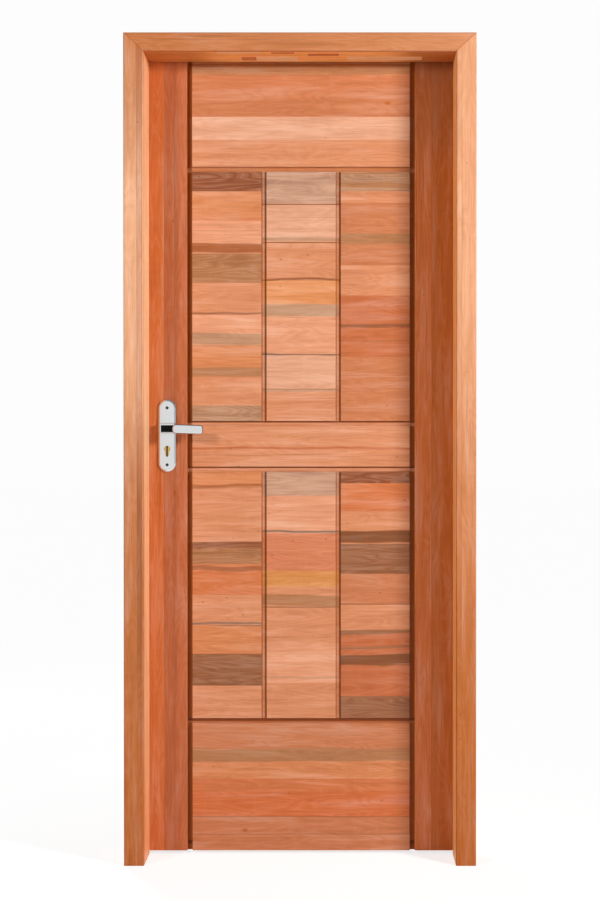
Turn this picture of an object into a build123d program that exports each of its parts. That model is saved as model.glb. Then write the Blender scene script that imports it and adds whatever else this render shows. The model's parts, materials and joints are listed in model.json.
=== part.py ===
from build123d import *
import math
import os

# A solid wood door leaf in its rebated frame, with a mitred casing on the stop side.
# Millimetres. X runs across the doorway, Y through it from the casing to the hinge knuckles, Z up.
# The origin lies on the floor, in the middle of the doorway, where the casing meets the jambs.

# Leaf and the gaps round it
leaf_width = 820.0
leaf_height = 2100.0
leaf_thickness = 35.0
leaf_gap = 3.0
floor_gap = 8.0
stop_gap = 0.5

# Frame and casing
jamb_thickness = 35.0
jamb_depth = 140.0
rebate_depth = 10.0
jamb_arris = 1.5
head_housing = 6.0
casing_thickness = 12.0
casing_width = 52.0
casing_head_width = 48.0
casing_round = 4.0
casing_round_limit_share = 0.8

# Stiles, rails and panels
stile_width = 108.0
bottom_rail_height = 339.0
lower_panel_height = 656.0
lock_rail_height = 108.0
top_rail_height = 265.0
top_lip_height = 19.0
seam_width = 13.0
lip_drop = 5.0
tongue_thickness = 12.0
tongue_seat = 11.0
seat_room = 1.0
joint_play = 0.1
stile_arris = 2.0
panel_arris = 1.0
tenon_length = 60.0
lock_tenon_length = 22.0
tenon_height_share = 0.5

# Butt hinges
hinge_height = 89.0
hinge_top_drop = 200.0
hinge_bottom_rise = 250.0
flap_depth = 32.0
flap_thickness = 2.0
knuckle_radius = 5.5
knuckle_count = 5
knuckle_gap = 0.3
knuckle_clearance = 0.3
pin_radius = 3.0
pin_play = 0.05
pin_cap = 3.0
pin_cap_round_share = 0.6
hinge_screw_height_shares = (-0.34, 0.0, 0.34)
hinge_screw_depth_shares = (0.65, 0.35, 0.65)

# Wood screws
screw_head_radius = 4.0
screw_shank_radius = 2.0
hinge_screw_length = 22.0
short_screw_length = 20.0
head_screw_length = 50.0
screw_play = 0.05
head_screw_depth_shares = (0.3, 0.7)

# Mortise lock
backset = 55.0
spindle_height = 1123.0
cylinder_drop = 55.0
case_depth = 76.0
case_thickness = 16.0
case_above = 46.0
case_below = 88.0
case_wall = 1.5
mortise_play = 0.2
faceplate_thickness = 3.0
faceplate_width = 22.0
faceplate_length = 190.0
faceplate_screw_inset = 10.0

# Latch, follower and spindle
latch_throw = 11.0
latch_travel = 10.5
latch_height = 20.0
latch_thickness = 12.0
latch_head_length = 29.0
latch_rise = 18.0
latch_nose = 1.0
latch_tail_thickness = 6.0
latch_tail_height = 16.0
latch_lug = 5.0
latch_play = 0.3
lever_turn = 40.0
follower_radius = 8.5
follower_side_play = 0.2
arm_width = 6.0
arm_play = 0.8
arm_top_play = 1.2
spring_strip = 0.8
spring_width = 6.0
spring_leg = 6.0
spindle_side = 8.0
spindle_play = 0.05
spindle_hole_radius = 10.0

# Deadbolt, cylinder and cam
deadbolt_throw = 20.0
deadbolt_height = 20.0
deadbolt_thickness = 9.0
deadbolt_sink = 0.3
deadbolt_lug = 5.0
deadbolt_clearance = 1.0
key_turn = 90.0
cam_thickness = 8.0
cam_tip_radius = 2.5
cam_arm_width = 4.0
cam_play = 1.2
cam_side_play = 0.3
cylinder_radius = 8.5
cylinder_stem = 10.0
cylinder_height = 29.0
cylinder_stand = 1.0
cylinder_play = 0.3
plug_radius = 6.5
plug_play = 0.05
keyway_width = 2.0
keyway_depth = 12.0
keyway_top_share = 0.6
slit_depth = 1.5
slit_margin = 1.5
cylinder_screw_drop = 14.0
cylinder_screw_bite = 3.0

# Strike
strike_thickness = 2.0
strike_width = 24.0
strike_margin = 24.0
strike_lip_height = 40.0
strike_hole_play = 1.0
strike_box_wall = 1.0
strike_box_depth = 18.0
strike_box_margin = 3.0
strike_screw_inset = 9.0

# Lock plates
plate_width = 45.5
plate_above = 75.5
plate_below = 115.0
plate_end_rise = 21.0
plate_thickness = 6.0
plate_bevel_width = 4.0
plate_bevel_height = 2.0
plate_screw_above = 54.0
plate_screw_below = 97.0

# Levers
journal_radius = 8.0
journal_play = 0.1
lever_gap = 0.5
block_left = 18.5
block_height = 25.0
block_reach = 20.0
block_arris = 1.0
inlay_width = 35.0
inlay_height = 18.5
inlay_thickness = 1.5
inlay_rim = 3.5
inlay_end_rim = 1.5
inlay_drop = 1.2
grip_height = 24.0
grip_thickness = 14.0
grip_round = 4.0
grip_reach = 45.0
grip_lap = 1.5
grip_root_round = 10.0
grip_tip_round = 7.0
grip_drop = 1.5
grip_droop = 2.0
neck_width = 12.5
neck_height = 18.0
lever_length = 99.0
socket_depth = 15.0
grub_radius = 2.5

# One overrun for every cut that passes a face
overrun = 1.0

# One turn from an axis to the next
quarter_turn = 90.0

# Planes of the frame
leaf_half = leaf_width / 2
rebate_half = leaf_half + leaf_gap
stop_half = rebate_half - rebate_depth
jamb_half = stop_half + jamb_thickness
casing_half = stop_half + casing_width
leaf_back = jamb_depth
leaf_front = leaf_back - leaf_thickness
leaf_middle = leaf_back - leaf_thickness / 2
stop_face = leaf_front - stop_gap
leaf_bottom = floor_gap
leaf_top = leaf_bottom + leaf_height
rebate_top = leaf_top + leaf_gap
stop_under = rebate_top - rebate_depth
head_top = stop_under + jamb_thickness
casing_top = stop_under + casing_head_width

# Planes of the leaf
stile_inner = leaf_half - stile_width
field_half = stile_inner - seam_width
column_count = 3
column_width = (2 * field_half - (column_count - 1) * seam_width) / column_count
bottom_rail_top = leaf_bottom + bottom_rail_height
lower_panel_bottom = bottom_rail_top + seam_width
lower_panel_top = lower_panel_bottom + lower_panel_height
lock_rail_bottom = lower_panel_top + seam_width
lock_rail_top = lock_rail_bottom + lock_rail_height
upper_panel_bottom = lock_rail_top + seam_width
top_rail_top = leaf_top - top_lip_height
top_rail_bottom = top_rail_top - top_rail_height
upper_panel_top = top_rail_bottom - seam_width
tongue_front = leaf_middle - tongue_thickness / 2
tongue_back = leaf_middle + tongue_thickness / 2
lip_front = leaf_front + lip_drop
lip_back = leaf_back - lip_drop
seat_depth = tongue_seat + seat_room

# Axes
hinge_x = leaf_half + leaf_gap / 2
hinge_y = leaf_back + knuckle_clearance + knuckle_radius
hinge_bottom_z = leaf_bottom + hinge_bottom_rise
hinge_top_z = leaf_top - hinge_top_drop
hinge_heights = {
    "bottom": hinge_bottom_z,
    "middle": (hinge_bottom_z + hinge_top_z) / 2,
    "top": hinge_top_z,
}
flap_start = leaf_back - flap_depth
spindle_x = backset - leaf_half
spindle_z = leaf_bottom + spindle_height
cylinder_z = spindle_z - cylinder_drop

# Planes of the lock
case_front = faceplate_thickness - leaf_half
case_back = case_front + case_depth
case_bottom = spindle_z - case_below
case_top = spindle_z + case_above
case_low_side = leaf_middle - case_thickness / 2
case_high_side = leaf_middle + case_thickness / 2
faceplate_z = (case_bottom + case_top) / 2
latch_bottom = spindle_z + latch_rise - latch_height / 2
latch_top = latch_bottom + latch_height
arm_reach = latch_travel / math.sin(math.radians(lever_turn))
latch_tail_top = latch_top - latch_nose
latch_tail_bottom = latch_tail_top - latch_tail_height
arm_half = arm_width / 2
tail_notch_back = spindle_x + arm_half + arm_play
tail_notch_front = spindle_x - arm_half - latch_throw - arm_play
tail_end = tail_notch_back + latch_lug
cam_reach = deadbolt_throw / (2 * math.sin(math.radians(key_turn / 2)))
cam_tip_x = spindle_x + deadbolt_throw / 2
deadbolt_bottom = cylinder_z + cylinder_radius + deadbolt_clearance
deadbolt_top = deadbolt_bottom + deadbolt_height
cam_notch_half = cam_tip_radius + cam_play
cylinder_screw_length = backset + cylinder_screw_bite
cylinder_front = leaf_front - plate_thickness - cylinder_stand
cylinder_back = leaf_back + plate_thickness + cylinder_stand
plate_face = leaf_front - plate_thickness
strike_back = -rebate_half - strike_thickness
strike_bottom = deadbolt_bottom - strike_margin
strike_top = latch_top + strike_margin

# Planes of the levers
block_front = leaf_front - block_reach
block_foot = plate_face - lever_gap
block_start = spindle_x - block_left
inlay_left = block_start + inlay_rim
neck_left = inlay_left + inlay_width
neck_right = neck_left + neck_width
block_end = neck_left + inlay_end_rim
grip_left = neck_left - grip_lap
grip_right = spindle_x + lever_length
grip_back = leaf_front - grip_reach + grip_thickness / 2
grip_z = spindle_z - grip_drop

MIN = (Align.MIN, Align.MIN, Align.MIN)
ON_END = (Align.CENTER, Align.CENTER, Align.MIN)
LOCK_SIDE = -1
HINGE_SIDE = 1


def block(x_a, x_b, y_a, y_b, z_a, z_b):
    """A box between two opposite corners, given in any order."""
    low = (min(x_a, x_b), min(y_a, y_b), min(z_a, z_b))
    size = (abs(x_b - x_a), abs(y_b - y_a), abs(z_b - z_a))
    return Pos(*low) * Box(*size, align=MIN)


def rod_x(x_a, x_b, y, z, radius):
    return Pos(min(x_a, x_b), y, z) * Rot(0, quarter_turn, 0) * Cylinder(radius, abs(x_b - x_a), align=ON_END)


def rod_y(x, y_a, y_b, z, radius):
    return Pos(x, min(y_a, y_b), z) * Rot(-quarter_turn, 0, 0) * Cylinder(radius, abs(y_b - y_a), align=ON_END)


def rod_z(x, y, z_a, z_b, radius):
    return Pos(x, y, min(z_a, z_b)) * Cylinder(radius, abs(z_b - z_a), align=ON_END)


def into_right(x, y, z):
    """A screw's place, with its head at the point and its tip towards +X."""
    return Pos(x, y, z) * Rot(0, quarter_turn, 0)


def into_left(x, y, z):
    return Pos(x, y, z) * Rot(0, -quarter_turn, 0)


def into_back(x, y, z):
    return Pos(x, y, z) * Rot(-quarter_turn, 0, 0)


def into_front(x, y, z):
    return Pos(x, y, z) * Rot(quarter_turn, 0, 0)


def countersunk(length, shank=screw_shank_radius, head=screw_head_radius, play=0):
    """A flat-headed screw along +Z from its head, or with play the hole that it fills."""
    shank_radius = shank + play
    head_radius = head + play
    outline = Polyline(
        (0, 0),
        (head_radius, 0),
        (shank_radius, head - shank),
        (shank_radius, length - shank),
        (0, length + play),
        close=True,
    )
    return revolve(Plane.XZ * make_face(outline), Axis.Z)


def screws(places, length, **sizes):
    return [place * countersunk(length, **sizes) for place in places]


def drilled(piece, places, length, **sizes):
    return piece - [place * countersunk(length, play=screw_play, **sizes) for place in places]


def eased(piece, arris):
    """Takes the sharp edge off all round the front and the back face."""
    faces = piece.faces().sort_by(Axis.Y)
    return chamfer(faces[0].edges() + faces[-1].edges(), arris)


# Frame


def head_jamb():
    """The rebated head, long enough to sit in the housings at the tops of both jambs."""
    section = Polyline(
        (0, head_top),
        (0, stop_under),
        (stop_face - jamb_arris, stop_under),
        (stop_face, stop_under + jamb_arris),
        (stop_face, rebate_top),
        (jamb_depth - jamb_arris, rebate_top),
        (jamb_depth, rebate_top + jamb_arris),
        (jamb_depth, head_top),
        close=True,
    )
    reach = rebate_half + head_housing
    return extrude(Plane.YZ * make_face(section), amount=reach, dir=(1, 0, 0), both=True)


def side_jamb(side):
    """A rebated jamb, trenched at its top for the head."""
    section = Polyline(
        (side * jamb_half, 0),
        (side * stop_half, 0),
        (side * stop_half, stop_face - jamb_arris),
        (side * (stop_half + jamb_arris), stop_face),
        (side * rebate_half, stop_face),
        (side * rebate_half, jamb_depth - jamb_arris),
        (side * (rebate_half + jamb_arris), jamb_depth),
        (side * jamb_half, jamb_depth),
        close=True,
    )
    jamb = extrude(make_face(section), amount=head_top, dir=(0, 0, 1))
    jamb -= head_jamb()
    return drilled(jamb, head_screw_places(side), head_screw_length)


def head_screw_places(side):
    turn = into_right if side == LOCK_SIDE else into_left
    middle = (rebate_top + head_top) / 2
    return [turn(side * jamb_half, share * jamb_depth, middle) for share in head_screw_depth_shares]


def casing_board(corners, length_axis):
    """A mitred board on the wall face, with its two long front arrises rounded."""
    outline = Plane.XZ * make_face(Polyline(*corners, close=True))
    board = extrude(outline, amount=casing_thickness, dir=(0, -1, 0))
    rounding = min(casing_round, casing_thickness * casing_round_limit_share)
    return fillet(board.edges().filter_by(length_axis).group_by(Axis.Y)[0], rounding)


def side_casing(side):
    corners = (
        (side * casing_half, 0),
        (side * stop_half, 0),
        (side * stop_half, stop_under),
        (side * casing_half, casing_top),
    )
    return casing_board(corners, Axis.Z)


def head_casing():
    corners = (
        (-stop_half, stop_under),
        (stop_half, stop_under),
        (casing_half, casing_top),
        (-casing_half, casing_top),
    )
    return casing_board(corners, Axis.X)


# Leaf


def stile(side):
    """A stile with a groove for the tongues along its inner edge, which is rounded."""
    inner = side * stile_inner
    board = block(side * leaf_half, inner, leaf_front, leaf_back, leaf_bottom, leaf_top)
    inner_edges = board.edges().filter_by(Axis.Z).group_by(Axis.X)[0 if side == HINGE_SIDE else -1]
    board = fillet(inner_edges, stile_arris)
    front = tongue_front - joint_play
    back = tongue_back + joint_play
    groove_end = inner + side * seat_depth
    board -= block(
        inner - side * overrun, groove_end, front, back, leaf_bottom - overrun, leaf_top + overrun
    )
    for bottom, top, length in rail_spans():
        low, high = tenon_span(bottom, top)
        end = inner + side * (length + seat_room)
        board -= block(inner, end, front, back, low - joint_play, high + joint_play)
    return board


def rail_spans():
    """Bottom, top and tenon length of the three rails."""
    return (
        (leaf_bottom, bottom_rail_top, tenon_length),
        (lock_rail_bottom, lock_rail_top, lock_tenon_length),
        (top_rail_bottom, top_rail_top, tenon_length),
    )


def tenon_span(bottom, top):
    middle = (bottom + top) / 2
    half = (top - bottom) * tenon_height_share / 2
    return middle - half, middle + half


def rail(bottom, top, length, lip_below, lip_above, tongue_above=True):
    """A rail with sunk lips on its long edges, a tongue past each lip, and tenons in the stiles."""
    low = bottom - lip_below
    high = top + lip_above
    board = eased(block(-field_half, field_half, leaf_front, leaf_back, bottom, top), panel_arris)
    board += block(-field_half, field_half, lip_front, lip_back, low, high)
    tongue_low = low - (tongue_seat if lip_below else 0)
    tongue_high = high + (tongue_seat if tongue_above else 0)
    board += block(-field_half, field_half, tongue_front, tongue_back, tongue_low, tongue_high)
    reach = stile_inner + tongue_seat
    board += block(-reach, reach, tongue_front, tongue_back, low, high)
    tenon_low, tenon_high = tenon_span(bottom, top)
    tenon_reach = stile_inner + length
    board += block(-tenon_reach, tenon_reach, tongue_front, tongue_back, tenon_low, tenon_high)
    return board


def panel(column, bottom, top):
    """A panel of one column: the middle one carries the lips of both upright seams."""
    left = column * (column_width + seam_width) - field_half
    right = left + column_width
    board = eased(block(left, right, leaf_front, leaf_back, bottom, top), panel_arris)
    front = tongue_front - joint_play
    back = tongue_back + joint_play
    groove_left = left
    groove_right = right
    if column == column_count // 2:
        groove_left -= seam_width + tongue_seat + overrun
        groove_right += seam_width + tongue_seat + overrun
        board += block(left - seam_width, right + seam_width, lip_front, lip_back, bottom, top)
        reach = seam_width + tongue_seat
        board += block(left - reach, right + reach, tongue_front, tongue_back, bottom, top)
    else:
        side = LOCK_SIDE if column == 0 else HINGE_SIDE
        outer = side * (stile_inner + tongue_seat)
        inner = right if side == LOCK_SIDE else left
        board += block(side * field_half, outer, tongue_front, tongue_back, bottom, top)
        board -= block(
            inner - side * overrun,
            inner + side * seat_depth,
            front,
            back,
            bottom - overrun,
            top + overrun,
        )
        groove_left -= overrun if side == HINGE_SIDE else 0
        groove_right += overrun if side == LOCK_SIDE else 0
    board -= block(groove_left, groove_right, front, back, bottom - overrun, bottom + seat_depth)
    board -= block(groove_left, groove_right, front, back, top - seat_depth, top + overrun)
    return board


# Hinges


def flap(side, knuckles):
    """One flap of a hinge centred on the floor level, with the knuckles that it owns."""
    face = hinge_x + side * leaf_gap / 2
    half = hinge_height / 2
    plate_end = leaf_back - knuckle_clearance
    plate = block(face, face + side * flap_thickness, flap_start, plate_end, -half, half)
    pitch = (hinge_height + knuckle_gap) / knuckle_count
    for index in knuckles:
        low = index * pitch - half
        high = low + pitch - knuckle_gap
        plate += block(face, face + side * flap_thickness, flap_start, hinge_y, low, high)
        plate += rod_z(hinge_x, hinge_y, low, high, knuckle_radius)
    plate -= rod_z(hinge_x, hinge_y, -half - overrun, half + overrun, pin_radius + pin_play)
    return plate


def hinge_pin():
    """A pin with a rounded cap above and below the knuckles."""
    half = hinge_height / 2
    pin = rod_z(hinge_x, hinge_y, -half, half, pin_radius)
    cap = rod_z(hinge_x, hinge_y, half, half + pin_cap, knuckle_radius)
    cap = chamfer(cap.edges().group_by(Axis.Z)[-1], pin_cap * pin_cap_round_share)
    return pin + cap + mirror(cap, about=Plane.XY)


def hinge_screw_places(side, centre):
    turn = into_right if side == HINGE_SIDE else into_left
    face = hinge_x + side * leaf_gap / 2
    places = []
    for up, along in zip(hinge_screw_height_shares, hinge_screw_depth_shares):
        places.append(turn(face, flap_start + along * flap_depth, centre + up * hinge_height))
    return places


def all_hinge_screw_places(side):
    return [place for centre in hinge_heights.values() for place in hinge_screw_places(side, centre)]


def hinge_recessed(piece, side):
    """Lets the three flaps into the face of a jamb or a stile, and drills it for their screws."""
    face = hinge_x + side * leaf_gap / 2
    for centre in hinge_heights.values():
        piece -= block(
            face - side * overrun,
            face + side * flap_thickness,
            flap_start,
            leaf_back + overrun,
            centre - hinge_height / 2,
            centre + hinge_height / 2,
        )
    return drilled(piece, all_hinge_screw_places(side), hinge_screw_length)


# Lock


def cylinder_bar(y_a, y_b, play=0):
    """The key cylinder's outline, a round with a narrower stem under it, drawn out along Y."""
    stem_radius = cylinder_stem / 2
    stem_z = cylinder_z + cylinder_radius - cylinder_height + stem_radius
    bar = rod_y(spindle_x, y_a, y_b, cylinder_z, cylinder_radius + play)
    half = stem_radius + play
    bar += block(spindle_x - half, spindle_x + half, y_a, y_b, stem_z, cylinder_z)
    bar += rod_y(spindle_x, y_a, y_b, stem_z, half)
    return bar


def faceplate_blank(x_a, x_b, play=0):
    """A strip with round ends, on edge in the leaf's edge."""
    half_width = faceplate_width / 2 + play
    straight = (faceplate_length - faceplate_width) / 2
    low = faceplate_z - straight
    high = faceplate_z + straight
    strip = block(x_a, x_b, leaf_middle - half_width, leaf_middle + half_width, low, high)
    strip += rod_x(x_a, x_b, leaf_middle, low, half_width)
    strip += rod_x(x_a, x_b, leaf_middle, high, half_width)
    return strip


def latch_way(x_a, x_b, play):
    half = latch_thickness / 2 + play
    return block(
        x_a, x_b, leaf_middle - half, leaf_middle + half, latch_bottom - play, latch_top + play
    )


def deadbolt_way(x_a, x_b, play):
    half = deadbolt_thickness / 2 + play
    return block(
        x_a, x_b, leaf_middle - half, leaf_middle + half, deadbolt_bottom - play, deadbolt_top + play
    )


def faceplate_screw_places():
    reach = faceplate_length / 2 - faceplate_screw_inset
    return [
        into_right(-leaf_half, leaf_middle, faceplate_z + side * reach)
        for side in (LOCK_SIDE, HINGE_SIDE)
    ]


def cylinder_screw_place():
    return into_right(-leaf_half, leaf_middle, cylinder_z - cylinder_screw_drop)


def lock_faceplate():
    plate = faceplate_blank(-leaf_half, case_front)
    plate -= latch_way(-leaf_half - overrun, case_front + overrun, latch_play)
    plate -= deadbolt_way(-leaf_half - overrun, case_front + overrun, latch_play)
    plate = drilled(plate, faceplate_screw_places(), short_screw_length)
    return drilled(plate, [cylinder_screw_place()], cylinder_screw_length)


def lock_case():
    """A tray with five walls, open towards the back of the leaf."""
    rim = case_high_side - case_wall
    tray = block(case_front, case_back, case_low_side, rim, case_bottom, case_top)
    tray -= block(
        case_front + case_wall,
        case_back - case_wall,
        case_low_side + case_wall,
        case_high_side,
        case_bottom + case_wall,
        case_top - case_wall,
    )
    tray -= latch_way(case_front - overrun, case_front + case_wall + overrun, latch_play)
    tray -= deadbolt_way(case_front - overrun, case_front + case_wall + overrun, latch_play)
    tray = drilled(tray, [cylinder_screw_place()], cylinder_screw_length)
    return case_pierced(tray)


def lock_cover():
    sheet = block(
        case_front, case_back, case_high_side - case_wall, case_high_side, case_bottom, case_top
    )
    return case_pierced(sheet)


def case_pierced(sheet):
    """Opens a wall of the case for the follower and the key cylinder."""
    low = case_low_side - overrun
    high = case_high_side + overrun
    sheet -= rod_y(spindle_x, low, high, spindle_z, journal_radius + journal_play)
    return sheet - cylinder_bar(low, high, cylinder_play)


def latch_bolt():
    """A bevelled head on a tail that is notched for the follower's arm."""
    tip = -leaf_half - latch_throw
    head_end = tip + latch_head_length
    half = latch_thickness / 2
    outline = Polyline(
        (-leaf_half - latch_nose, leaf_middle - half),
        (tip, leaf_middle + half - latch_nose),
        (tip, leaf_middle + half),
        (head_end, leaf_middle + half),
        (head_end, leaf_middle - half),
        close=True,
    )
    head = extrude(Pos(0, 0, latch_bottom) * make_face(outline), amount=latch_height, dir=(0, 0, 1))
    tail_half = latch_tail_thickness / 2
    low = leaf_middle - tail_half
    high = leaf_middle + tail_half
    tail = block(head_end, tail_end, low, high, latch_tail_bottom, latch_tail_top)
    notch_top = spindle_z + arm_reach + arm_half + arm_top_play
    tail -= block(
        tail_notch_front,
        tail_notch_back,
        low - overrun,
        high + overrun,
        latch_tail_bottom - overrun,
        notch_top,
    )
    return head + tail


def latch_spring():
    """A strip bent to a U between the latch's tail and the back wall of the case."""
    left = tail_end
    right = case_back - case_wall
    radius = (right - left) / 2
    centre = (left + right) / 2
    bend_z = (latch_tail_bottom + latch_tail_top) / 2 - spring_leg / 2
    low = leaf_middle - spring_width / 2
    high = leaf_middle + spring_width / 2
    bend = rod_y(centre, low, high, bend_z, radius)
    bend -= rod_y(centre, low - overrun, high + overrun, bend_z, radius - spring_strip)
    bend -= block(left, right, low - overrun, high + overrun, bend_z, bend_z + radius)
    leg_top = bend_z + spring_leg
    bend += block(left, left + spring_strip, low, high, bend_z, leg_top)
    bend += block(right - spring_strip, right, low, high, bend_z, leg_top)
    return bend


def follower():
    """The turning hub on its two journals, with the arm that draws the latch."""
    inner_low = case_low_side + case_wall + follower_side_play
    inner_high = case_high_side - case_wall - follower_side_play
    hub = rod_y(spindle_x, inner_low, inner_high, spindle_z, follower_radius)
    hub += rod_y(spindle_x, case_low_side, case_high_side, spindle_z, journal_radius)
    arm_low = leaf_middle - latch_tail_thickness / 2
    arm_high = leaf_middle + latch_tail_thickness / 2
    tip_z = spindle_z + arm_reach
    hub += block(spindle_x - arm_half, spindle_x + arm_half, arm_low, arm_high, spindle_z, tip_z)
    hub += rod_y(spindle_x, arm_low, arm_high, tip_z, arm_half)
    return hub - spindle_bar(case_low_side - overrun, case_high_side + overrun, spindle_play)


def spindle_bar(y_a, y_b, play=0):
    half = spindle_side / 2 + play
    return block(
        spindle_x - half, spindle_x + half, y_a, y_b, spindle_z - half, spindle_z + half
    )


def deadbolt():
    """A bar, withdrawn just behind the faceplate, notched from below for the cam."""
    half = deadbolt_thickness / 2
    bar = block(
        deadbolt_sink - leaf_half,
        cam_tip_x + cam_notch_half + deadbolt_lug,
        leaf_middle - half,
        leaf_middle + half,
        deadbolt_bottom,
        deadbolt_top,
    )
    notch_top = cylinder_z + cam_reach + cam_tip_radius + cam_play
    return bar - block(
        cam_tip_x - cam_notch_half,
        cam_tip_x + cam_notch_half,
        leaf_middle - half - overrun,
        leaf_middle + half + overrun,
        deadbolt_bottom - overrun,
        notch_top,
    )


def cylinder_body():
    """The key cylinder, bored for its plugs, cut in the middle for the cam and tapped for its screw."""
    body = cylinder_bar(cylinder_front, cylinder_back)
    body -= rod_y(
        spindle_x, cylinder_front - overrun, cylinder_back + overrun, cylinder_z, plug_radius + plug_play
    )
    slit_half = keyway_width / 2
    slit_bottom = cylinder_z + cylinder_radius - cylinder_height + slit_margin
    for face, depth in ((cylinder_front, slit_depth), (cylinder_back, -slit_depth)):
        body -= block(
            spindle_x - slit_half,
            spindle_x + slit_half,
            face - depth,
            face + depth,
            slit_bottom,
            cylinder_z,
        )
    half = cam_thickness / 2 + cam_side_play
    side = cylinder_radius + overrun
    body -= block(
        spindle_x - side,
        spindle_x + side,
        leaf_middle - half,
        leaf_middle + half,
        cylinder_z - plug_radius - cam_side_play,
        cylinder_z + side,
    )
    return drilled(body, [cylinder_screw_place()], cylinder_screw_length)


def plug(face, inner, inward):
    """A plug with the slot for the key in its outer face."""
    piece = rod_y(spindle_x, face, inner, cylinder_z, plug_radius)
    half = keyway_width / 2
    return piece - block(
        spindle_x - half,
        spindle_x + half,
        face - inward * overrun,
        face + inward * keyway_depth,
        cylinder_z - plug_radius - overrun,
        cylinder_z + plug_radius * keyway_top_share,
    )


def lock_cam():
    """The finger between the plugs that drives the deadbolt, turned to its unlocked side."""
    low = leaf_middle - cam_thickness / 2
    high = leaf_middle + cam_thickness / 2
    half = cam_arm_width / 2
    finger = rod_y(0, low, high, 0, plug_radius)
    finger += block(-half, half, low, high, 0, cam_reach)
    finger += rod_y(0, low, high, cam_reach, cam_tip_radius)
    return Pos(spindle_x, 0, cylinder_z) * Rot(0, key_turn / 2, 0) * finger


# Strike


def strike_outline(x_a, x_b, play=0):
    """The strike with its lip, which runs out to the back edge of the jamb beside the latch."""
    half = strike_width / 2 + play
    sheet = block(
        x_a, x_b, leaf_middle - half, leaf_middle + half, strike_bottom - play, strike_top + play
    )
    lip_half = strike_lip_height / 2 + play
    middle = (latch_bottom + latch_top) / 2
    return sheet + block(x_a, x_b, leaf_middle, jamb_depth, middle - lip_half, middle + lip_half)


def strike_screw_places():
    heights = (strike_bottom + strike_screw_inset, strike_top - strike_screw_inset)
    return [into_left(-rebate_half, leaf_middle, height) for height in heights]


def strike_plate():
    sheet = strike_outline(-rebate_half, strike_back)
    sheet -= latch_way(-rebate_half + overrun, strike_back - overrun, strike_hole_play)
    sheet -= deadbolt_way(-rebate_half + overrun, strike_back - overrun, strike_hole_play)
    return drilled(sheet, strike_screw_places(), short_screw_length)


def strike_box_blank(play):
    half = latch_thickness / 2 + strike_box_margin + play
    return block(
        strike_back,
        strike_back - strike_box_depth - play,
        leaf_middle - half,
        leaf_middle + half,
        deadbolt_bottom - strike_box_margin - play,
        latch_top + strike_box_margin + play,
    )


def strike_box():
    """The pocket that takes the latch and the thrown deadbolt."""
    hollow = Pos(strike_box_wall, 0, 0) * strike_box_blank(-strike_box_wall)
    return strike_box_blank(0) - hollow


# Lock plates


def plate_outline(inset, y):
    """The plate's outline, two straight sides and two round ends, drawn in by an inset."""
    half = plate_width / 2
    end_radius = (half**2 + plate_end_rise**2) / (2 * plate_end_rise)
    side = half - inset
    rise = end_radius - inset
    shoulder = math.sqrt(rise**2 - side**2)
    high = spindle_z + plate_above - end_radius
    low = spindle_z - plate_below + end_radius
    left = spindle_x - side
    right = spindle_x + side
    outline = [
        Line((left, low - shoulder), (left, high + shoulder)),
        ThreePointArc((left, high + shoulder), (spindle_x, high + rise), (right, high + shoulder)),
        Line((right, high + shoulder), (right, low - shoulder)),
        ThreePointArc((right, low - shoulder), (spindle_x, low - rise), (left, low - shoulder)),
    ]
    return Pos(0, y, 0) * (Plane.XZ * make_face(outline))


def lock_plate():
    """The plate on the camera side: round-ended, bevelled, bored for lever, key and screws."""
    shoulder_y = plate_face + plate_bevel_height
    foot = plate_outline(0, leaf_front)
    plate = extrude(foot, amount=plate_thickness - plate_bevel_height, dir=(0, -1, 0))
    plate += loft([plate_outline(0, shoulder_y), plate_outline(plate_bevel_width, plate_face)], ruled=True)
    outside = plate_face - overrun
    inside = leaf_front + overrun
    plate -= rod_y(spindle_x, outside, inside, spindle_z, journal_radius + journal_play)
    plate -= cylinder_bar(outside, inside, screw_play)
    return drilled(plate, front_plate_screw_places(), short_screw_length)


def plate_screw_heights():
    return (spindle_z + plate_screw_above, spindle_z - plate_screw_below)


def front_plate_screw_places():
    return [into_back(spindle_x, plate_face, z) for z in plate_screw_heights()]


def back_plate_screw_places():
    return [into_front(spindle_x, leaf_back + plate_thickness, z) for z in plate_screw_heights()]


def to_back(piece):
    """The same piece on the other face of the leaf."""
    return mirror(piece, about=Plane.XZ.offset(-leaf_middle))


# Levers


def lever():
    """A block on a round journal, with a neck at its end that carries the grip."""
    low = spindle_z - block_height / 2
    high = spindle_z + block_height / 2
    base = block(block_start, block_end, block_front, block_foot, low, high)
    base = chamfer(base.faces().sort_by(Axis.Y)[0].edges(), block_arris)
    base += rod_y(spindle_x, block_foot, leaf_front, spindle_z, journal_radius)
    base -= inlay_tile()
    base += neck()
    base += grip()
    base -= spindle_bar(leaf_front - socket_depth - spindle_play, leaf_front + overrun, spindle_play)
    return base - grub_screw()


def neck():
    """The bar that leaves the end of the block and turns forwards, hidden behind the grip."""
    half = neck_height / 2
    return block(neck_left, neck_right, grip_back - grip_round, block_foot, grip_z - half, grip_z + half)


def grip():
    """A flat bar with a round root and rounded arrises, its tip hanging a little."""
    bar = extrude(grip_outline(), amount=grip_thickness, dir=(0, -1, 0))
    faces = bar.faces().sort_by(Axis.Y)
    bar = fillet(faces[0].edges() + faces[-1].edges(), grip_round)
    root = Pos(neck_left, 0, grip_z)
    return root * Rot(0, grip_droop, 0) * root.inverse() * bar


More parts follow.
